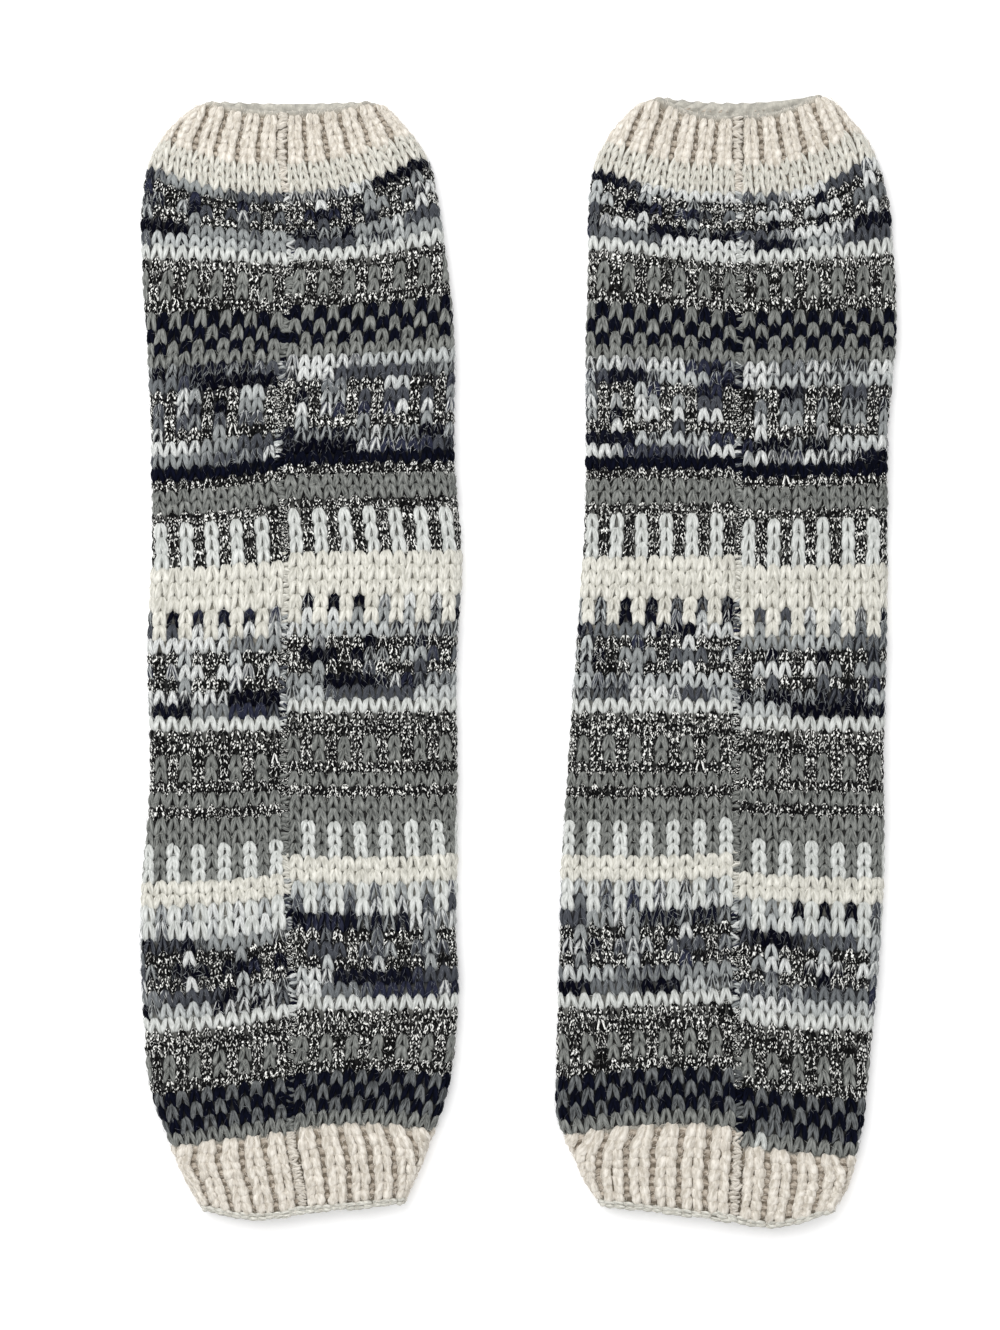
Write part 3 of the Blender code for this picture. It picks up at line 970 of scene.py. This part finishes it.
def chain(tube, course, rng):
    """A chain of small loops that lies along an edge."""
    links = []
    for hand in (-1, 1):
        wale = (np.arange(-CHAIN_PAST, CHAIN_LINKS)[:, None] + 0.5) * WALES / CHAIN_LINKS
        wale = wale + drawn(EDGE_STRAND, CHAIN_ACROSS)[None] + rng.normal(0, 0.04, wale.shape)
        spread = drawn(EDGE_STRAND, CHAIN_SPREAD)[None] * rng.normal(1.0, 0.15, (len(wale), 1))
        at_course = course + hand * spread + rng.normal(0, 0.05, (len(wale), 1))
        rise = drawn(EDGE_STRAND, CHAIN_LIFT)[None] + rng.normal(0, 0.12, (len(wale), 1))
        middle = tube.at(wale, at_course, rise)
        radius = np.tile(drawn(EDGE_STRAND, CHAIN_THICK), (len(wale), 1))
        links.append(laid(EDGE_STRAND, middle, tube.outward(wale, at_course), radius, rng))
    return np.concatenate(links)


def rib_layer(wale, course):
    """How far out of the surface the layer behind the ribs lies."""
    fade = np.clip((np.abs(course - BODY_COURSES / 2) - BODY_COURSES / 2) / DRAWN_ROWS, 0, 1)
    return -CLOTH_UNDER - RIB_UNDER - RIB_SWING * fade * np.cos(pi * wale)


for tube in TUBES:
    rng = np.random.default_rng(31 + len(tube.side))
    cuffs = {
        "arm_cuff": (RIM_COURSE + 0.6, 0.2 - PLAIN_COURSES, 6, 0.12, (RIM_COURSE, 0)),
        "hand_cuff": (BODY_COURSES + 0.2, HEM_COURSE - 0.7, 8, 0.12, (BODY_COURSES, HEM_COURSE)),
    }
    for cuff, (first, last, rows, opening, span) in cuffs.items():
        knit, purl = ribbing(tube, first, last, rows, opening, rng)
        yarns = [
            yarn_piece(
                f"{tube.side}_{cuff}_knit_stitches", RIB_STRAND, knit,
                rng.integers(0, CELLS, (len(knit), 2)), YARNS["cuff"],
            ),
            # The purl stitches take the darker copy of the cuff yarn, painted shade for the valleys
            # between the ribs.
            yarn_piece(
                f"{tube.side}_{cuff}_purl_stitches", EDGE_STRAND, purl,
                rng.integers(0, CELLS, (len(purl), 2)), YARNS["purl"],
            ),
        ]
        if cuff == "arm_cuff":
            course, wale = np.meshgrid(
                np.arange(-PLAIN_COURSES, 0), np.arange(WALES), indexing="ij"
            )
            plain = legs(
                tube, RIB_STRAND, wale.ravel() + 0.5, course.ravel() + 0.5,
                LEG_ACROSS, PLAIN_DOWN, LEG_LIFT, LEG_THICK, rng,
            )
            yarns.append(yarn_piece(
                f"{tube.side}_{cuff}_plain_stitches", RIB_STRAND, plain,
                rng.integers(0, CELLS, (len(plain), 2)), YARNS["cream"],
            ))
        else:
            chains = chain(tube, HEM_COURSE - 0.26, rng)
            yarns.append(yarn_piece(
                f"{tube.side}_{cuff}_edge_chain", EDGE_STRAND, chains,
                rng.integers(0, CELLS, (len(chains), 2)), YARNS["cream"],
            ))
        ridge, row = np.meshgrid(np.arange(WALES) + 0.5, np.arange(*span) + 0.5)
        fuzz = loose_fibres(tube, ridge.ravel(), row.ravel(), HAIRS["cuff"], rng)
        fuzz = fuzz[fuzz[:, 0, 2] > FACE_FROM]
        yarns.append(yarn_piece(
            f"{tube.side}_{cuff}_loose_fibres", HAIR, fuzz,
            rng.integers(0, CELLS, (len(fuzz), 2)), FLUFF["cuff"],
        ))

        def place(across, down):
            course = span[0] + (span[1] - span[0]) * down
            return tube.at(across * WALES, course, rib_layer(across * WALES, course))

        # Behind the ribs the layer takes painted shade (R); at the openings and ends, the yarn's own
        # pale colour (E).
        def letters(across, down):
            inside = place(across, down)[:, 2] < INSIDE_BELOW
            return np.where(inside | (np.abs(2 * down - 1) > EDGE_SHARE), "E", "R")

        cloth = cloth_piece(
            f"{tube.side}_{cuff}_cloth", (RIBS * 6, 10), place,
            letters, f"{tube.side}_{cuff}",
        )

# The seams
# Each tube is closed down its face by sewing the edge stitches together. It shows as a soft ladder
# of short strands, in the yarns of the rows on either side, a little below the stitches beside it.
SEAM_YARNS = {**CHART_LETTERS, "R": "cuff"}
SEAM_HALF = 1.9  # mm from its middle to where it passes under the wales
SEAM_STEP = 1.3  # mm from rung to rung
RUNG_ACROSS = [-2.15, -1.2, 0.0, 1.2, 2.15]
RUNG_LIFT = [-1.6, -0.55, -0.25, -0.55, -1.6]
RUNG_THICK = [0.0, 0.66, 0.80, 0.66, 0.0]
RUNGS_FROM = 1.6  # mm above the seam cloth's end
RUNG_LONG = (0.75, 1.1)  # shares of those lengths and radii
RUNG_SIZE = (0.7, 1.1)
RUNG_SHIFTS = 0.35  # mm to one side,
RUNG_STRAYS = 0.3  # up or down,
RUNG_BENDS = 0.18  # up or down at each station
RUNG_RISES = 0.2  # and out of the cloth
RUNG_TILT = 0.45


def seam_place(tube, offset, height):
    """Points beside a seam's middle, at heights above the hand end, on the cloth's own surface."""
    courses = np.linspace(RIM_COURSE, HEM_COURSE, 400)
    line = tube.surface(0.0, courses)
    levels = line[:, 1] + LENGTH / 2
    middle = through(tube.outline[0], tube.outline[3], height)
    rise = np.interp(-height, -levels, line[:, 2])
    return np.stack([middle + offset, height - LENGTH / 2 + 0 * offset, rise + 0 * offset], -1)


def seam_letters(tube, height, left):
    """The yarns of the rows that end at these heights, on the seam's left or right side."""
    courses = np.linspace(RIM_COURSE, HEM_COURSE, 400)
    levels = tube.surface(WALES if left else 0.0, courses)[:, 1] + LENGTH / 2
    course = np.interp(-height, -levels, courses)
    column = charted(tube.side)[:, -1 if left else 0]
    letter = column[np.clip(course, 0, BODY_COURSES - 1).astype(int)]
    return np.where((course < 0) | (course >= BODY_COURSES), "R", letter)


for tube in TUBES:
    rng = np.random.default_rng(53 + len(tube.side))
    top, end = tube.surface(0.0, np.array([RIM_COURSE + 0.2, HEM_COURSE - 0.3]))[:, 1] + LENGTH / 2
    height = np.arange(end + RUNGS_FROM, top, SEAM_STEP / 2)
    from_left = rng.random(len(height)) < 0.5
    yarn_left = seam_letters(tube, height, True)
    yarn_right = seam_letters(tube, height, False)
    from_left = np.where(yarn_left == "P", False, from_left | (yarn_right == "P"))
    yarn_here = np.where(from_left, yarn_left, yarn_right)
    each = (len(height), 1)
    tilt = rng.normal(0.0, RUNG_TILT, each)
    offset = drawn(EDGE_STRAND, RUNG_ACROSS)[None] * rng.uniform(*RUNG_LONG, each)
    offset = offset + rng.normal(0.0, RUNG_SHIFTS, each)
    level = height[:, None] + tilt * offset + rng.normal(0.0, RUNG_STRAYS, each)
    level = level + rng.normal(0.0, RUNG_BENDS, offset.shape)
    points = seam_place(tube, offset, level)
    points[..., 2] += drawn(EDGE_STRAND, RUNG_LIFT)[None] + rng.normal(0.0, RUNG_RISES, each)
    thick = drawn(EDGE_STRAND, RUNG_THICK)[None] * rng.uniform(*RUNG_SIZE, each)
    upright = np.broadcast_to([0.0, 0.0, 1.0], points.shape)
    rungs = laid(EDGE_STRAND, points, upright, thick, rng)
    for yarn in YARNS:
        chosen = np.array([SEAM_YARNS[letter] == yarn for letter in yarn_here])
        if not chosen.any():
            continue
        cells = rng.integers(0, CELLS, (chosen.sum(), 2))
        if yarn == "dyed":
            cells = 2 * rng.choice(RUN_SHADES, (chosen.sum(), 2)) + cells % 2
        name = f"{tube.side}_seam_{yarn}_rungs"
        piece = yarn_piece(name, EDGE_STRAND, rungs[chosen], cells, YARNS[yarn])

    def place(across, down):
        level = top + (end - top) * down
        points = seam_place(tube, (across - 0.5) * 2 * SEAM_HALF, level)
        points[:, 2] -= CLOTH_UNDER + RIB_UNDER
        return points

    # The strip takes the painted shade behind the rows beside it.
    def letters(across, down):
        level = top + (end - top) * down
        return seam_letters(tube, level, False)

    strip = cloth_piece(f"{tube.side}_seam_cloth", (2, 300), place, letters, f"{tube.side}_seam")
